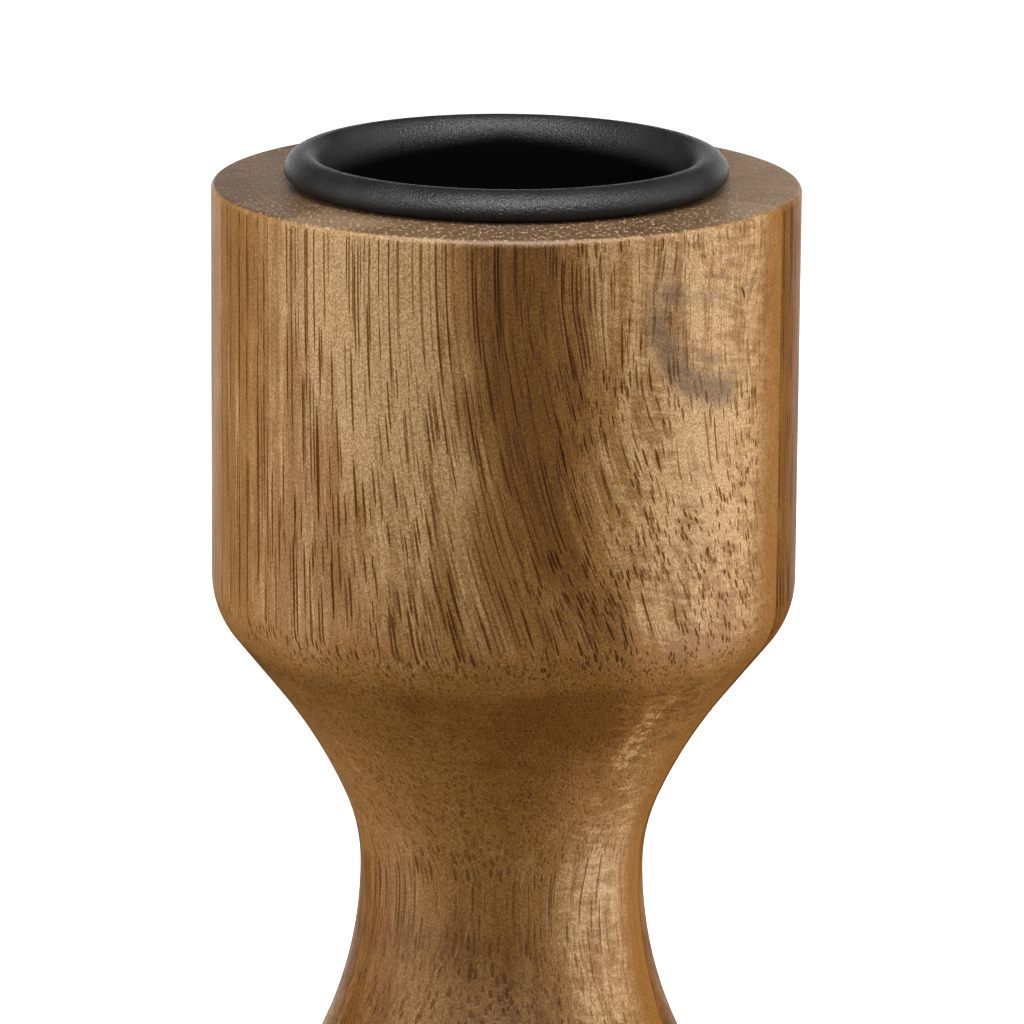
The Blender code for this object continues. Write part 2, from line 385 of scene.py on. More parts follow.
# Vessels cut lengthways: dark ticks and lines along the grain.
vesselLook = {
    "shade": (0.34, 0.24, 0.12),  # what they leave of the colour round them
    "spacing": 0.215,
    "radius": 0.27,               # in cells
    "slimmest": 0.55,
    "girthLuck": 0.75,
    "edge": (0.75, 1.2, 1.0, 0.0),
    "kept": (0.16, 0.28),
    "plugged": (0.32, 0.48, 0.15, 1.0),
    "faintest": 0.72,
    "depthLuck": 0.5,
    "wildAcross": (1.0, 9.0),     # where the grain runs wild the vessels are fewer and wider
    "wildGirth": 0.35,
    "wildLoss": 0.36,
    "secondShift": (57.0, 31.0),  # a second family lies among the first in the calm middle
    "secondAcross": (-9.5, -4.5, 0.0, 0.6),
    "coneLoss": 0.55,
    "topEdge": (0.1, 0.5),
    "neckLoss": (34.0, 48.0, 1.0, 0.55),
    # fewer vessels show within the painted highlight
    "paintedHighlightLoss": 0.12,
    "roughness": 0.9,
    "gloss": 0.03,
}


def vesselMarks(shop, flowX, flowY, z, wildness):
    look = vesselLook
    cells = shop.addNode("ShaderNodeTexVoronoi", {"voronoi_dimensions": "2D"},
                         {"Vector": shop.join(flowX, flowY, 0.0), "Scale": 1.0 / look["spacing"]})
    outputs = cells.socket.node.outputs
    girthLuck, keepLuck, depthLuck = shop.split(Wire(shop, outputs["Color"]))
    girth = look["radius"] * (look["slimmest"] + girthLuck * look["girthLuck"])
    girth = girth * (1.0 + wildness * look["wildGirth"])
    mark = shop.fade(Wire(shop, outputs["Distance"]) / girth, *look["edge"])
    keep = shop.fade(keepLuck - wildness * look["wildLoss"], *look["kept"])
    plugs = shop.fade(pattern(shop, "plugs", flowX, flowY, z), *look["plugged"])
    return mark * keep * plugs * (look["faintest"] + depthLuck * look["depthLuck"])


def openVessels(shop, spot):
    look = vesselLook
    wildness = shop.fade(spot.x, *look["wildAcross"])
    shiftX, shiftY = look["secondShift"]
    second = vesselMarks(shop, spot.flowX + shiftX, spot.flowY + shiftY, spot.z, 0.0)
    second = second * shop.fade(spot.x, *look["secondAcross"]) * (1.0 - wildness)
    vessels = vesselMarks(shop, spot.flowX, spot.flowY, spot.z, wildness).greater(second)
    vessels = vessels * (1.0 - spot.onCone * look["coneLoss"])
    return vessels * shop.fade(spot.down, *look["topEdge"]) * shop.fade(spot.down, *look["neckLoss"])


# Marks that only the front stave has. Places are round the head to the right, and down.
frontMarks = {
    "goldTone": (0.283, 0.110, 0.009),
    "goldSpan": (-4.0, -1.2),     # from the glue line
    "goldFray": 2.0,
    "goldCover": 0.85,
    "smudgeTone": (0.150, 0.078, 0.028),
    "smudgeCover": 0.84,
    "vesselsRoundKnot": (2.0, 8.5, 0.35, 1.0),
    "fanCover": 0.55,
    "nickDepth": 1.15,
    "toolCover": 0.35,
    "knot": {
        "place": (14.7, 4.8),
        "hook": (5.2, 0.2, 1.55),             # bands round the knot
        "inner": (3.5, 0.05, 0.6, 0.7),
        "hookStart": (-0.9, -0.4),            # turns round it, in radians
        "hookThin": (-0.35, 0.15, 0.35, 1.0),
        "hookEnd": (1.55, 1.95, 1.0, 0.0),
        "innerTurn": (1.1, 0.10, 0.55),
        "blotPlace": (-4.5, -1.1),            # these two are measured from the knot
        "armPlace": (-2.2, -0.7),
        "blotSquash": 0.5,
        "blotFray": 1.2,
        "blot": (0.2, 1.35, 0.85, 0.0),
        "armFray": 1.5,
        "armTall": (0.0, 0.5, 0.38, 0.0),
        "armLong": (1.2, 2.6, 1.0, 0.0),
        "patches": (0.56, 0.72, 0.0, 0.40),
        "patchesEnd": (3.0, 7.0, 1.0, 0.0),
        "faintest": 0.62,
        "brushed": 0.6,
    },
    "fan": {
        "place": (18.6, 4.4),
        "squash": 0.8,
        "slant": (0.62, 0.78),
        "bend": 0.02,
        "strokes": (0.50, 0.62),
        "reach": (0.8, 3.0, 1.0, 0.0),
    },
    "nick": {
        "place": (16.3, 4.4),
        "slant": (0.45, 0.89),
        "bend": 0.35,
        "taper": 0.06,
        "wide": (0.05, 0.13, 1.0, 0.0),
        "long": (0.25, 0.55, 1.0, 0.0),
    },
    "toolRings": {
        "levels": (10.2, 12.1),
        "wander": 0.5,
        "tilt": 0.02,
        "wide": (0.02, 0.07, 1.0, 0.0),
        "gaps": (0.40, 0.60),
    },
}


def knotSmudge(shop, around, down):
    # a small knot lies just under the surface: a soft grey-brown hook with a blot at its top
    look = frontMarks["knot"]
    sideways, below = around - look["place"][0], down - look["place"][1]
    fray = pattern(shop, "fray", around, down, 0.0)
    fromKnot = (sideways * sideways + below * below).root()
    frayed = fromKnot + (fray - 0.5)
    sweep = below.maths("ARCTAN2", below, -sideways)
    hook = shop.band(frayed, *look["hook"]) * shop.fade(sweep, *look["hookThin"])
    hook = hook * shop.fade(sweep, *look["hookStart"]) * shop.fade(sweep, *look["hookEnd"])
    inner = shop.band(frayed, *look["inner"]) * shop.band(sweep, *look["innerTurn"])
    blotX, blotDown = sideways - look["blotPlace"][0], below - look["blotPlace"][1]
    fromBlot = (blotX * blotX * look["blotSquash"] + blotDown * blotDown).root()
    blot = shop.fade(fromBlot + (fray - 0.5) * look["blotFray"], *look["blot"])
    armDown = below - look["armPlace"][1] + (fray - 0.5) * look["armFray"]
    arm = shop.fade(armDown.size(), *look["armTall"])
    arm = arm * shop.fade((sideways - look["armPlace"][0]).size(), *look["armLong"])
    patches = shop.fade(fray, *look["patches"]) * shop.fade(fromKnot, *look["patchesEnd"])
    marks = hook.greater(inner).greater(blot).greater(arm).greater(patches)
    brushed = pattern(shop, "brushed", around, down, 5.0) * look["brushed"]
    return marks * (look["faintest"] + brushed), fromKnot


def fanStrokes(shop, around, down):
    # brown strokes that fan up to the right between the knot and the gold layer
    look = frontMarks["fan"]
    slantX, slantDown = look["slant"]
    sideways = (around - look["place"][0]) * look["squash"]
    below = down - look["place"][1]
    fromMiddle = (sideways * sideways + below * below).root()
    along = around * slantX - down * slantDown
    across = around * slantDown + down * slantX + along * along * look["bend"]
    strokes = pattern(shop, "strokes", across, along, 8.0)
    return shop.fade(strokes, *look["strokes"]) * shop.fade(fromMiddle, *look["reach"])


def nickMark(shop, around, down):
    # a short black nick that slants down to the right
    look = frontMarks["nick"]
    slantX, slantDown = look["slant"]
    sideways, below = around - look["place"][0], down - look["place"][1]
    along = sideways * slantX + below * slantDown
    askew = sideways * slantDown - below * slantX + along * along * look["bend"]
    slot = shop.fade(askew.size() + along.size() * look["taper"], *look["wide"])
    return slot * shop.fade(along.size(), *look["long"])


def toolRings(shop, around, down):
    # faint rings left by the turning tool
    look = frontMarks["toolRings"]
    rings = 0.0
    for level in look["levels"]:
        wander = (pattern(shop, "wander", around, level, 0.0) - 0.5) * look["wander"]
        fromRing = down - level + wander + around * look["tilt"]
        rings = rings + shop.fade(fromRing.size(), *look["wide"])
    return rings * shop.fade(pattern(shop, "gaps", around, down, 3.0), *look["gaps"])


def markFront(shop, spot, colour, vessels):
    # the gold layer along the glue line, then the fan, the knot, the nick and the tool's rings
    look = frontMarks
    across = spot.x * math.cos(glueUp["angle"]) + spot.y * math.sin(glueUp["angle"])
    fromGlue = across + (spot.streaks - 0.5) * look["goldFray"] - glueUp["planes"][1] * toMillimetres
    gold = shop.fade(fromGlue, *look["goldSpan"]) * look["goldCover"]
    colour = shop.blendColour(gold, colour, look["goldTone"])
    knot, fromKnot = knotSmudge(shop, spot.around, spot.down)
    vessels = vessels * (1.0 - gold) * shop.fade(fromKnot, *look["vesselsRoundKnot"])
    strokes = fanStrokes(shop, spot.around, spot.down) * look["fanCover"]
    colour = shop.blendColour(strokes, colour, woodLook["darkTone"])
    colour = shop.blendColour(knot * look["smudgeCover"], colour, look["smudgeTone"])
    vessels = vessels.greater(nickMark(shop, spot.around, spot.down) * look["nickDepth"])
    rings = toolRings(shop, spot.around, spot.down) * look["toolCover"]
    return shop.blendColour(rings, colour, woodLook["darkTone"]), vessels


# End grain on the flat top: darker between its open pores, with painted glints on their rims towards the
# front, paler patches at the front left and to the right, and a painted highlight along the front of the top
# edge.
topLook = {
    "tone": (0.100, 0.051, 0.022),
    "paleAndGlintTone": (0.860, 0.600, 0.380),
    "skin": (0.02, 0.12, 1.0, 0.0),
    "cover": 0.85,
    "rimGlints": (0.53, 0.67),
    "rimGlintsFront": (-15.0, -3.0, 1.0, 0.25),
    "palerPlace": (-10.5, -13.0),
    "paler": (1.5, 6.0, 0.8, 0.0),
    "palerRight": (9.0, 16.0, 0.0, 0.7),
    "palerMottle": 0.5,
    "palerCover": 0.36,
    # painted highlight along the front of the top edge: its colour, band, reach and cover
    "edgeHighlightTone": (0.720, 0.480, 0.260),
    "edge": (0.2, 0.05, 0.28),
    "edgeHighlightAcross": (-1.0, 4.0, 9.0, 1.0, 0.1),
    "edgeHighlightCover": 0.36,
}


def capWithEndGrain(shop, spot, colour):
    look, x, y = topLook, spot.x, spot.y
    onTop = shop.fade(spot.down, *look["skin"])
    pores = pattern(shop, "openPores", x, y, 0.0)
    # painted glints on the pore rims, mostly at the front
    rimGlints = shop.fade(pores, *look["rimGlints"]) * shop.fade(y, *look["rimGlintsFront"])
    # paler patches at the front left and towards the right
    palerX, palerY = look["palerPlace"]
    paler = shop.fade((x - palerX).size() + (y - palerY).size(), *look["paler"])
    paler = paler.greater(shop.fade(x, *look["palerRight"])) + (spot.mottle - 0.5) * look["palerMottle"]
    endColour = shop.blendColour(paler * look["palerCover"], look["tone"], look["paleAndGlintTone"])
    endColour = shop.blendColour(rimGlints, endColour, look["paleAndGlintTone"])
    colour = shop.blendColour(onTop * look["cover"], colour, endColour)
    # painted highlight: a pale line along the front of the top edge
    edge = shop.band(spot.down, *look["edge"]) * shop.band(x, *look["edgeHighlightAcross"])
    return shop.blendColour(edge * look["edgeHighlightCover"], colour, look["edgeHighlightTone"]), pores * onTop


def woodFinish(name, stave):
    shop = FinishShop(name)
    spot = measureSpot(shop, stave)
    look, down = woodLook, spot.down
    tone = timberTone(shop, spot)
    if stave["figured"]:
        tone = tone + figureTone(shop, spot)
    vessels = openVessels(shop, spot)

    # painted highlight: a lighter band round to the right, rippled across the grain, where the right lamp's
    # light would catch the diving fibres
    spread = shop.fade(down, *look["paintedHighlightSpread"])
    sheen = shop.band(spot.turn, look["paintedHighlightAngle"], look["paintedHighlightCore"], spread) * stave["lean"]
    slopeZ, slopeX = look["rippleSlope"]
    ripple = pattern(shop, "ripple", spot.x, spot.y, spot.z * slopeZ + spot.x * slopeX)
    tone = tone + (ripple - 0.5) * sheen * look["rippleDepth"]
    brightness = shop.band(down, *look["paintedHighlightDown"]) * (1.0 - spot.onCorner * look["paintedHighlightCorner"])
    tone = tone + sheen * brightness

    reach = look["toneReach"]
    colour = shop.blendColour(shop.fade(tone, -reach, 0.0), look["darkTone"], look["baseTone"])
    colour = shop.blendColour(shop.fade(tone, 0.0, reach), colour, look["paleTone"])
    # painted highlight: a warm, lighter tint along the rounded corner
    colour = shop.blendColour(spot.onCorner * look["cornerHighlightBlend"], colour, look["cornerHighlightTone"])
    if stave["figured"]:
        colour, vessels = markFront(shop, spot, colour, vessels)
    colour = shop.blendColour(1.0, colour, stave["tint"], "MULTIPLY")
    colour, endRelief = capWithEndGrain(shop, spot, colour)

    # the oiled surface's worm-like micro grain, its lighter spots whitened as a painted glint
    worms = pattern(shop, "worms", spot.x, spot.y, spot.z)
    paintedGlint = shop.fade(worms, *look["paintedGlint"])
    paintedGlint = shop.join(paintedGlint, paintedGlint ** look["paintedGlintGreen"], paintedGlint ** look["paintedGlintBlue"])
    colour = shop.blendColour(1.0, colour, paintedGlint, "MULTIPLY")
    vesselColour = shop.blendColour(1.0, colour, vesselLook["shade"], "MULTIPLY")
    height = worms * look["wormHeight"] + spot.fibres * look["fibreHeight"] - vessels + endRelief
    roughness = look["roughness"] + worms * look["wormRoughness"]
    oiled = shop.shader({"Base Color": colour, "Roughness": roughness, "IOR": look["ior"],
                         "Specular IOR Level": stave["gloss"]}, height, look["reliefHeight"])
    vessel = shop.shader({"Base Color": vesselColour, "Roughness": vesselLook["roughness"],
                          "Specular IOR Level": vesselLook["gloss"]})
    cover = (vessels * (1.0 - sheen * vesselLook["paintedHighlightLoss"])).lesser(1.0)
    return shop.close(shop.addNode("ShaderNodeMixShader", None, {0: cover, 1: oiled, 2: vessel}))


# Black coated metal of the cup, with painted shade down its well: a darker, duller shader there. Lengths are
# millimetres.
cupLook = {
    "coat": (0.012, 0.012, 0.0125),
    "worn": (0.025, 0.025, 0.026),
    "wornPatches": (0.35, 0.7),
    "mistScale": 0.35,
    "gritScale": 7.5,
    "streaksAround": 26.0,
    "streaksAlong": 0.8,
    "streakHeight": 0.08,
    "dust": (0.20, 0.19, 0.18),
    "dustCover": 0.5,
    "dustScale": 1.1,
    "dustSize": (0.035, 0.06, 1.0, 0.0),
    "dustKept": (0.55, 0.6),
    "roughness": 0.40,
    "mistRoughness": 0.10,
    "gritRoughness": 0.5,
    "dustRoughness": 0.3,
    "ior": 1.35,
    "reliefHeight": 0.00008,
    # painted shade: the near-black, dull finish that stands for the shade down the well
    "inside": (0.001, 0.001, 0.001),
    "wellShadeRoughness": 0.75,
    "wellShadeIor": 1.08,
    "wellShadeReach": (11.3, 11.95, 1.0, 0.0),   # from the axis
    "wellShadeTop": (0.35, 1.85, 1.0, 0.0),      # above the wood
    "wellShadeDip": 0.11,            # how much lower it starts towards the two sides
}


def blackMetalFinish():
    shop = FinishShop("blackCoatedMetal")
    look = cupLook
    place = shop.millimetres()
    x, y, z = shop.split(place)
    around = y.maths("ARCTAN2", y, x)
    mist = shop.noise(place, look["mistScale"], 3.0, 0.6)
    grit = shop.noise(place, look["gritScale"], 2.0, 0.6)
    stretched = shop.join(around * look["streaksAround"], z * look["streaksAlong"], 0.0)
    streaks = shop.noise(stretched, 1.0, 3.0, 0.7)
    specks = shop.addNode("ShaderNodeTexVoronoi", None, {"Vector": place, "Scale": look["dustScale"]})
    outputs = specks.socket.node.outputs
    luck = shop.split(Wire(shop, outputs["Color"]))[0]
    speck = shop.fade(Wire(shop, outputs["Distance"]), *look["dustSize"])
    speck = speck * shop.fade(luck, *look["dustKept"])
    colour = shop.blendColour(shop.fade(mist, *look["wornPatches"]), look["coat"], look["worn"])
    colour = shop.blendColour(speck * look["dustCover"], colour, look["dust"])
    roughness = look["roughness"] + (mist - 0.5) * look["mistRoughness"]
    roughness = roughness + (grit - 0.5) * look["gritRoughness"] + speck * look["dustRoughness"]
    rim = shop.shader({"Base Color": colour, "Roughness": roughness, "IOR": look["ior"]},
                      grit + streaks * look["streakHeight"], look["reliefHeight"])
    # painted shade down the well
    well = shop.shader({"Base Color": (*look["inside"], 1.0), "Roughness": look["wellShadeRoughness"],
                        "IOR": look["wellShadeIor"]})
    raised = z - woodTop * toMillimetres + x.size() * look["wellShadeDip"]
    inside = shop.fade((x * x + y * y).root(), *look["wellShadeReach"]) * shop.fade(raised, *look["wellShadeTop"])
    return shop.close(shop.addNode("ShaderNodeMixShader", None, {0: inside, 1: rim, 2: well}))


# Dense brown felt of the three feet.
feltLook = {
    "tone": (0.060, 0.045, 0.034),
    "fleck": (0.115, 0.090, 0.070),
    "flecks": (0.40, 0.62),
    "roughness": 0.93,
    "sheen": 0.25,
    "reliefHeight": 0.00012,
}


def feltFinish():
    shop = FinishShop("brownFelt")
    matted = shop.noise(shop.millimetres(), 4.0, 4.0, 0.7, 2.0)
    colour = shop.blendColour(shop.fade(matted, *feltLook["flecks"]), feltLook["tone"], feltLook["fleck"])
    return shop.finish({"Base Color": colour, "Roughness": feltLook["roughness"],
                        "Sheen Weight": feltLook["sheen"]}, matted, feltLook["reliefHeight"])


# The turned section, metres. Sizes are the stand's own; radii from the axis, heights from the table.
standShape = {
    "headRadius": 0.018,
    "headStraight": 0.0245,
    "arris": 0.00035,
    "cornerRadius": 0.0054,
    "coneAngle": math.radians(38.8),
    "upperSweep": 0.032,
    "throatAngle": math.radians(24),
    "throatRadius": 0.0117,
    "waistRadius": 0.0088,
    "lowerSweep": 0.0263,
    "footRadius": 0.030,
    "shoulderRadius": 0.004,
    "footBand": 0.008,
    "footArris": 0.0006,
    "hollowDepth": 0.0012,
    "hollowRadius": 0.0155,
    "hollowSlope": 0.002,
    "pipRadius": 0.0012,
    "pipDepth": 0.0014,
    "wellRadius": 0.0123,
    "wellDepth": 0.0233,
    "support": 0.0006,            # from each arris to the extra ring that holds the flat face flat
    "facets": 320,
    "arcTurn": math.radians(3),
    "arrisTurn": math.radians(15),
}


def ovalPoints(centre, wide, tall, start, end, turn):
    count = max(3, math.ceil(abs(end - start) / turn))
    angles = [start + (end - start) * i / count for i in range(count + 1)]
    return [(centre[0] + wide * math.cos(a), centre[1] + tall * math.sin(a)) for a in angles]


def arcPoints(centreR, centreZ, radius, start, end, turn):
    return ovalPoints((centreR, centreZ), radius, radius, start, end, turn)


def hollowSweep(start, radius, lean, endLean, turn):
    # an inward curve from a point, its slope from the axis going from one lean to the other
    r, z = start
    centreR = r + radius * math.cos(lean)
    centreZ = z - radius * math.sin(lean)
    return arcPoints(centreR, centreZ, radius, math.pi - lean, math.pi - endLean, turn)


def headToWaist(shape):
    # corner, straight cone, long sweep, throat; the cone's length is what the curves leave
    angle, throat = shape["coneAngle"], shape["throatAngle"]
    curvedStep = (shape["cornerRadius"] * (1 - math.cos(angle))
                  + shape["upperSweep"] * (math.cos(throat) - math.cos(angle))
                  + shape["throatRadius"] * (1 - math.cos(throat)))
    straight = (shape["headRadius"] - shape["waistRadius"] - curvedStep) / math.sin(angle)
    corner, turn = shape["cornerRadius"], shape["arcTurn"]
    cornerR, cornerZ = shape["headRadius"] - corner, woodTop - shape["headStraight"]
    points = arcPoints(cornerR, cornerZ, corner, 0, -angle, turn)
    r, z = points[-1]
    coneEnd = (r - straight * math.sin(angle), z - straight * math.cos(angle))
    points += hollowSweep(coneEnd, shape["upperSweep"], angle, throat, turn / 3)
    points += hollowSweep(points[-1], shape["throatRadius"], throat, 0, turn)[1:]
    return points


def waistToFoot(shape, waistZ):
    # one hollow sweep and a shoulder, joined by the straight cone that touches both
    step = shape["footRadius"] - shape["waistRadius"]
    shoulderZ = woodBottom + shape["footBand"]
    drop = waistZ - shoulderZ
    radii = shape["lowerSweep"] + shape["shoulderRadius"]
    straight = math.sqrt((step - radii) ** 2 + drop * drop - radii * radii)
    lean = math.atan2(radii, straight) + math.atan2(step - radii, drop)
    waist, turn = (shape["waistRadius"], waistZ), shape["arcTurn"]
    points = hollowSweep(waist, shape["lowerSweep"], 0, -lean, turn / 2)[1:]
    shoulderR = shape["footRadius"] - shape["shoulderRadius"]
    points += arcPoints(shoulderR, shoulderZ, shape["shoulderRadius"], lean, 0, turn)
    return points


def standSection(shape):
    wellFloor = woodTop - shape["wellDepth"]
    hollowZ = woodBottom + shape["hollowDepth"]
    head, foot, well = shape["headRadius"], shape["footRadius"], shape["wellRadius"]
    arris, footArris, support = shape["arris"], shape["footArris"], shape["support"]
    rightAngle, turn = math.radians(90), shape["arrisTurn"]
    points = [(0, wellFloor - shape["pipDepth"]), (shape["pipRadius"], wellFloor)]
    points += [(well - support, wellFloor), (well, wellFloor)]
    points += [(well, wellFloor + support), (well, woodTop - support)]
    points += [(well, woodTop - arris / 3), (well + arris / 3, woodTop)]
    points += [(well + support, woodTop), (head - arris - support, woodTop)]
    points += arcPoints(head - arris, woodTop - arris, arris, rightAngle, 0, turn)
    points += [(head, woodTop - arris - support)]
    points += headToWaist(shape)
    points += waistToFoot(shape, points[-1][1])
    points += [(foot, woodBottom + footArris + support)]
    points += arcPoints(foot - footArris, woodBottom + footArris, footArris, 0, -rightAngle, turn)
    points += [(foot - footArris - support, woodBottom), (shape["hollowRadius"], woodBottom)]
    points += [(shape["hollowRadius"] - shape["hollowSlope"], hollowZ)]
    points += [(shape["pipRadius"], hollowZ), (0, hollowZ + shape["pipDepth"])]
    return points


def latheTree():
    # turns a section, drawn as a line in the XZ plane, once round the Z axis
    tree = bpy.data.node_groups.new("latheTurning", "GeometryNodeTree")
    for name, kind in (("Section", "NodeSocketGeometry"), ("Facets", "NodeSocketInt"),
                       ("Merge Distance", "NodeSocketFloat"), ("Finish", "NodeSocketMaterial")):
        tree.interface.new_socket(name, in_out="INPUT", socket_type=kind)
    tree.interface.new_socket("Turned", in_out="OUTPUT", socket_type="NodeSocketGeometry")
    add = tree.nodes.new
    link = tree.links.new
    source, result = add("NodeGroupInput"), add("NodeGroupOutput")

    def maths(operation, *values):
        node = add("ShaderNodeMath")
        node.operation = operation
        for socket, value in zip(node.inputs, values):
            if isinstance(value, bpy.types.NodeSocket):
                link(value, socket)
            else:
                socket.default_value = value
        return node.outputs[0]

    # a grid with one column for each facet and one row for each point of the section
    size = add("GeometryNodeAttributeDomainSize")
    link(source.outputs["Section"], size.inputs["Geometry"])
    facets, rows = source.outputs["Facets"], size.outputs["Point Count"]
    grid = add("GeometryNodeMeshGrid")
    link(maths("ADD", facets, 1.0), grid.inputs["Vertices X"])
    link(rows, grid.inputs["Vertices Y"])

    # grid points are numbered up each column: row picks the section's point, column the angle
    number = add("GeometryNodeInputIndex").outputs[0]
    row = maths("MODULO", number, rows)
    column = maths("FLOOR", maths("DIVIDE", number, rows))
    angle = maths("MULTIPLY", maths("DIVIDE", column, facets), math.tau)
    sample = add("GeometryNodeSampleIndex")
    sample.data_type = "FLOAT_VECTOR"
    link(source.outputs["Section"], sample.inputs["Geometry"])
    link(add("GeometryNodeInputPosition").outputs[0], sample.inputs["Value"])
    link(row, sample.inputs["Index"])
    turn = add("ShaderNodeVectorRotate")
    turn.rotation_type = "Z_AXIS"
    link(sample.outputs[0], turn.inputs["Vector"])
    link(angle, turn.inputs["Angle"])
    place = add("GeometryNodeSetPosition")
    link(grid.outputs["Mesh"], place.inputs["Geometry"])
    link(turn.outputs[0], place.inputs["Position"])

    geometry = place.outputs[0]
    for kind, setting, inputName in (("GeometryNodeMergeByDistance", "Distance", "Merge Distance"),
                                     ("GeometryNodeSetShadeSmooth", None, None),
                                     ("GeometryNodeRealizeInstances", None, None),
                                     ("GeometryNodeSetMaterial", "Material", "Finish")):
        step = add(kind)
        link(geometry, step.inputs["Geometry"])
        if setting:
            link(source.outputs[inputName], step.inputs[setting])
        geometry = step.outputs[0]
    link(geometry, result.inputs[0])
    return tree


def setInput(modifier, name, value):
    for item in modifier.node_group.interface.items_tree:
        if item.item_type == "SOCKET" and item.in_out == "INPUT" and item.name == name:
            modifier[item.identifier] = value


def plainMesh(holder, name):
    graph = bpy.context.evaluated_depsgraph_get()
    mesh = bpy.data.meshes.new_from_object(holder.evaluated_get(graph))
    mesh.name = name
    return mesh


def wearFinish(mesh, finish):
    # one slot only, and every face in it
    mesh.materials.clear()
    mesh.materials.append(finish)
    for face in mesh.polygons:
        face.material_index = 0


mergeWithin = 0.000002            # metres: joins the lathe's seam and its poles


def turnedMesh(name, section, facets, finish, tree):
    line = bpy.data.meshes.new(name + "Section")
    line.from_pydata([(r, 0, z) for r, z in section], [(i, i + 1) for i in range(len(section) - 1)], [])
    holder = bpy.data.objects.new(name + "Lathe", line)
    bpy.context.scene.collection.objects.link(holder)
    modifier = holder.modifiers.new("Lathe", "NODES")
    modifier.node_group = tree
    setInput(modifier, "Facets", facets)
    setInput(modifier, "Merge Distance", mergeWithin)
    setInput(modifier, "Finish", finish)
    mesh = plainMesh(holder, name)
    wearFinish(mesh, finish)
    bpy.data.objects.remove(holder)
    bpy.data.meshes.remove(line)
    return mesh


def faceOutwards(mesh):
    work = bmesh.new()
    work.from_mesh(mesh)
    bmesh.ops.recalc_face_normals(work, faces=work.faces)
    work.to_mesh(mesh)
    work.free()


def newPiece(name, mesh):
    piece = bpy.data.objects.new(name, mesh)
    bpy.context.scene.collection.objects.link(piece)
    return piece


# How the blank was glued up: parallel planes across this direction, metres from the axis.
glueUp = {
    "angle": math.radians(60),
    "planes": (-0.0198, 0.0022, 0.0242),
    "creep": 0.000008,            # hair of daylight left at each glued face
    "cutWithin": 1e-8,
    "smoothUpTo": math.radians(40),
}


def keepBetween(mesh, near, far):
    # saws the turned body at two planes and closes each sawn face
    across = Vector((math.cos(glueUp["angle"]), math.sin(glueUp["angle"]), 0))
    work = bmesh.new()
    work.from_mesh(mesh)
    for distance, side in ((near, -1), (far, 1)):
        if distance is None:
            continue
        everything = work.verts[:] + work.edges[:] + work.faces[:]
        cut = bmesh.ops.bisect_plane(work, geom=everything, dist=glueUp["cutWithin"], clear_outer=True,
                                     plane_co=across * distance, plane_no=across * side)
        rim = [e for e in cut["geom_cut"] if isinstance(e, bmesh.types.BMEdge)]
        bmesh.ops.holes_fill(work, edges=rim, sides=0)
    bmesh.ops.triangulate(work, faces=[f for f in work.faces if len(f.verts) > 4])
    bmesh.ops.recalc_face_normals(work, faces=work.faces)
    work.to_mesh(mesh)
    work.free()
    mesh.set_sharp_from_angle(angle=glueUp["smoothUpTo"])


def makeStaves(tree):
    section = standSection(standShape)
    first, second, third = glueUp["planes"]
    creep = glueUp["creep"]
    spans = {
        "front_foot_stave": (None, first - creep),
        "front_stave": (first + creep, second - creep),
        "rear_stave": (second + creep, third - creep),
        "rear_foot_stave": (third + creep, None),
    }
    for node, (near, far) in spans.items():
        finish = woodFinish(node + "Wood", staveLook[node])
        mesh = turnedMesh(node, section, standShape["facets"], finish, tree)
        keepBetween(mesh, near, far)
        piece = newPiece("turned_" + node, mesh)
        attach(piece, "stand")
        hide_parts(node)
    print("staves turned and sawn")


# The cup: one thin sheet, drawn into a cup, flared at its mouth and rolled outwards. Metres.
cupShape = {
    "innerRadius": 0.0111,
    "depth": 0.022,
    "wall": 0.0005,
    "cornerRadius": 0.002,
    "crestRadius": 0.0123,
    "curlWide": 0.00125,          # crest to brim, across and down
    "curlTall": 0.00112,
    "tuckWide": 0.00105,          # brim to the tucked-in end
    "tuckTall": 0.00078,
    "tuckTurn": math.radians(100),
    "flareHeight": 0.00227,
    "seat": 0.00003,              # from the wood up to the curl's lowest point
    "facets": 256,
    "curlTurn": math.radians(6),
    "lipTurn": math.radians(30),
}


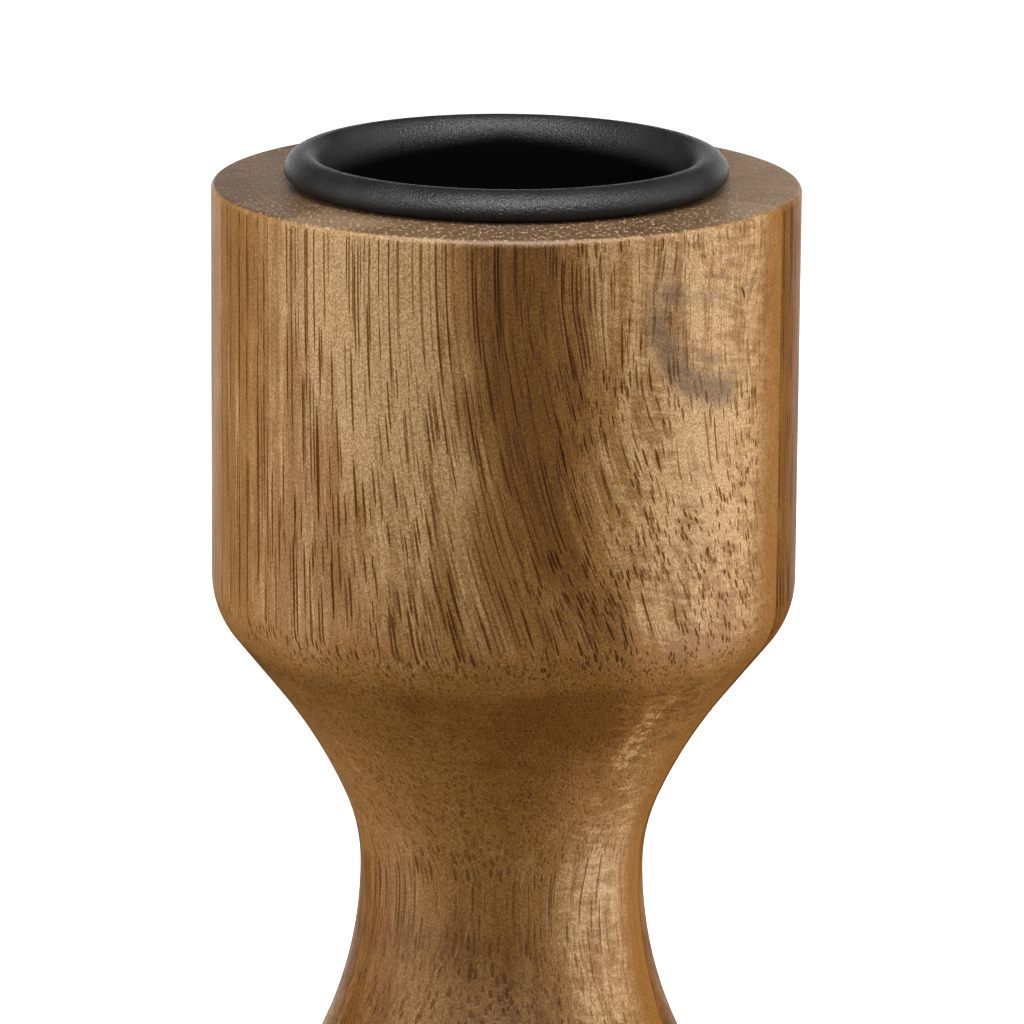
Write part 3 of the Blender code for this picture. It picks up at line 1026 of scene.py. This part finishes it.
def cupSection(shape):
    # the sheet's inside from floor to tucked end, then back along its outside to the axis
    floorZ = woodTop - shape["depth"]
    corner, wall, crest = shape["cornerRadius"], shape["wall"], shape["crestRadius"]
    wide, tall, tuckWide, tuckTall = (shape[k] for k in ("curlWide", "curlTall", "tuckWide", "tuckTall"))
    brimZ = woodTop + shape["seat"] + tuckTall
    reach, height = crest - shape["innerRadius"], shape["flareHeight"]
    flare, over, under = (crest, brimZ + tall - height), (crest, brimZ), (crest + wide - tuckWide, brimZ)
    cornerR = shape["innerRadius"] - corner
    fine, end = shape["curlTurn"], -shape["tuckTurn"]
    top, bottom = math.radians(90), math.radians(-90)
    middleR, middleZ = cornerR * 0.5, floorZ + 0.4 * shape["depth"]   # points that share out the flat runs
    inside = [(0, floorZ), (middleR, floorZ)]
    inside += arcPoints(cornerR, floorZ + corner, corner, bottom, 0, fine)
    inside += [(shape["innerRadius"], middleZ)]
    inside += ovalPoints(flare, reach, height, math.pi, top, fine)
    inside += ovalPoints(over, wide, tall, top, 0, fine)[1:]
    inside += ovalPoints(under, tuckWide, tuckTall, 0, end, fine)[1:]
    lipR = under[0] + (tuckWide - wall / 2) * math.cos(end)
    lipZ = under[1] + (tuckTall - wall / 2) * math.sin(end)
    lip = arcPoints(lipR, lipZ, wall / 2, end, end - math.pi, shape["lipTurn"])[1:-1]
    outside = ovalPoints(under, tuckWide - wall, tuckTall - wall, end, 0, fine)[:-1]
    outside += ovalPoints(over, wide - wall, tall - wall, 0, top, fine)[:-1]
    outside += ovalPoints(flare, reach - wall, height - wall, top, math.pi, fine)
    outside += [(shape["innerRadius"] + wall, middleZ)]
    outside += arcPoints(cornerR, floorZ + corner, corner + wall, 0, bottom, fine)
    outside += [(middleR, floorZ - wall), (0, floorZ - wall)]
    return inside + lip + outside


def makeCup(tree):
    mesh = turnedMesh("candle_cup", cupSection(cupShape), cupShape["facets"], blackMetalFinish(), tree)
    faceOutwards(mesh)
    piece = newPiece("rolled_rim_cup", mesh)
    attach(piece, "cup")
    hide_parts("candle_cup")
    print("cup drawn and rolled")


# Felt feet, metres.
feltShape = {
    "edgeRadius": 0.00035,
    "edgeTurn": math.radians(15),
    "facets": 72,
}


def makeFeltFeet(tree):
    finish = feltFinish()
    edge, turn = feltShape["edgeRadius"], feltShape["edgeTurn"]
    for i in range(1, 4):
        node = f"felt_foot_{i}"
        low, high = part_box(node)
        middle = (low + high) / 2
        radius = (high.x - low.x) / 2
        section = [(0, high.z), (radius * 0.5, high.z)]
        section += arcPoints(radius - edge, high.z - edge, edge, math.radians(90), 0, turn)
        section += arcPoints(radius - edge, low.z + edge, edge, 0, math.radians(-90), turn)
        section += [(radius * 0.5, low.z), (0, low.z)]
        mesh = turnedMesh(node, section, feltShape["facets"], finish, tree)
        for vertex in mesh.vertices:
            vertex.co.x += middle.x
            vertex.co.y += middle.y
        faceOutwards(mesh)
        piece = newPiece(f"felt_pad_{i}", mesh)
        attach(piece, "stand")
        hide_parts(node)
    print("felt feet cut")


# Floor, lights and camera.
roomLook = {
    "floorTone": (0.90, 0.90, 0.90),
    "floorGlow": 0.95,
    "floorRadius": 8.0,
    "floorFacets": 96,
    "sky": 0.05,                  # what the sky gives as light, and how bright it is seen
    "skySeen": 0.95,
    "lampAim": 0.75,              # how far up the stand the lamps point
    # side is turned from the viewer's direction and rise is above level, in degrees; metres and watts
    "lamps": (
        {"side": 78, "rise": 10, "distance": 0.60, "wide": 0.55, "tall": 0.50, "power": 2.4},
        {"side": 90, "rise": -25, "distance": 0.60, "wide": 0.40, "tall": 0.33, "power": 2.2},
        {"side": 105, "rise": 38, "distance": 0.60, "wide": 0.33, "tall": 0.33, "power": 0.5},
        {"side": -75, "rise": 10, "distance": 0.60, "wide": 0.55, "tall": 0.50, "power": 2.2},
        {"side": -45, "rise": 10, "distance": 0.60, "wide": 0.33, "tall": 0.33, "power": 0.6},
        {"side": -90, "rise": -25, "distance": 0.60, "wide": 0.40, "tall": 0.33, "power": 0.9},
        {"side": 0, "rise": 78, "distance": 0.60, "wide": 0.45, "tall": 0.33, "power": 2.2},
    ),
    # only gloss mirrors these two: the white sweep behind the object and a card above the camera
    "cards": (
        {"side": 180, "rise": -3, "distance": 0.90, "wide": 0.95, "tall": 0.42, "power": 2.8},
        {"side": 6, "rise": 46, "distance": 0.60, "wide": 0.60, "tall": 0.16, "power": 11.5},
    ),
}

cameraLook = {
    "aim": (0.00049, 0.0, 0.0793),
    "distance": 0.4313,
    "rise": 13.73,                # degrees above level
    "roll": 0.436,
    "lens": 246.1,
    "sensorWidth": 36.0,
    "nearest": 0.01,
    "farthest": 50.0,
}


def directionFrom(side, rise):
    # side is turned from the viewer's direction, towards +X
    side, rise = math.radians(side), math.radians(rise)
    return Vector((math.sin(side) * math.cos(rise), -math.cos(side) * math.cos(rise), math.sin(rise)))


def makeFloor():
    bpy.ops.mesh.primitive_circle_add(vertices=roomLook["floorFacets"], radius=roomLook["floorRadius"],
                                      fill_type="NGON")
    floor = bpy.context.active_object
    floor.name = "floor"
    shop = FinishShop("paleFloor")
    material = shop.finish({"Base Color": (*roomLook["floorTone"], 1.0), "Roughness": 0.9,
                            "Emission Color": (1.0, 1.0, 1.0, 1.0),
                            "Emission Strength": roomLook["floorGlow"]})
    floor.data.materials.append(material)
    floor.visible_diffuse = False
    floor.visible_glossy = False
    floor.visible_shadow = False           # the low softboxes shine up through it, as its bounce would


def makeSky():
    world = bpy.data.worlds.new("studio")
    world.use_nodes = True
    nodes, links = world.node_tree.nodes, world.node_tree.links
    path = nodes.new("ShaderNodeLightPath")
    seen = nodes.new("ShaderNodeMix")
    seen.inputs[2].default_value = roomLook["sky"]
    seen.inputs[3].default_value = roomLook["skySeen"]
    nodes["Background"].inputs["Color"].default_value = (1.0, 1.0, 1.0, 1.0)
    links.new(path.outputs["Is Camera Ray"], seen.inputs[0])
    links.new(seen.outputs[0], nodes["Background"].inputs["Strength"])
    bpy.context.scene.world = world


def makeLights():
    middle = Vector((0, 0, woodTop * roomLook["lampAim"]))
    for index, look in enumerate(roomLook["lamps"] + roomLook["cards"]):
        lamp = bpy.data.lights.new(f"softbox{index + 1}", "AREA")
        lamp.shape = "RECTANGLE"
        lamp.size = look["wide"]
        lamp.size_y = look["tall"]
        lamp.energy = look["power"]
        holder = bpy.data.objects.new(lamp.name, lamp)
        away = directionFrom(look["side"], look["rise"])
        holder.location = middle + away * look["distance"]
        holder.rotation_euler = away.to_track_quat("Z", "Y").to_euler()
        holder.visible_camera = False
        holder.visible_diffuse = look in roomLook["lamps"]
        bpy.context.scene.collection.objects.link(holder)


def makeCamera():
    data = bpy.data.cameras.new("camera")
    data.lens = cameraLook["lens"]
    data.sensor_width = cameraLook["sensorWidth"]
    data.clip_start = cameraLook["nearest"]
    data.clip_end = cameraLook["farthest"]
    camera = bpy.data.objects.new("camera", data)
    away = directionFrom(0, cameraLook["rise"])
    camera.location = Vector(cameraLook["aim"]) + away * cameraLook["distance"]
    camera.rotation_euler = away.to_track_quat("Z", "Y").to_euler()
    camera.rotation_euler.rotate_axis("Z", math.radians(cameraLook["roll"]))
    bpy.context.scene.collection.objects.link(camera)
    bpy.context.scene.camera = camera


def main():
    bpy.context.scene.view_settings.view_transform = "Standard"
    tree = latheTree()
    makeStaves(tree)
    makeCup(tree)
    makeFeltFeet(tree)
    makeFloor()
    makeSky()
    makeLights()
    makeCamera()
    print("room, lights and camera set")


main()
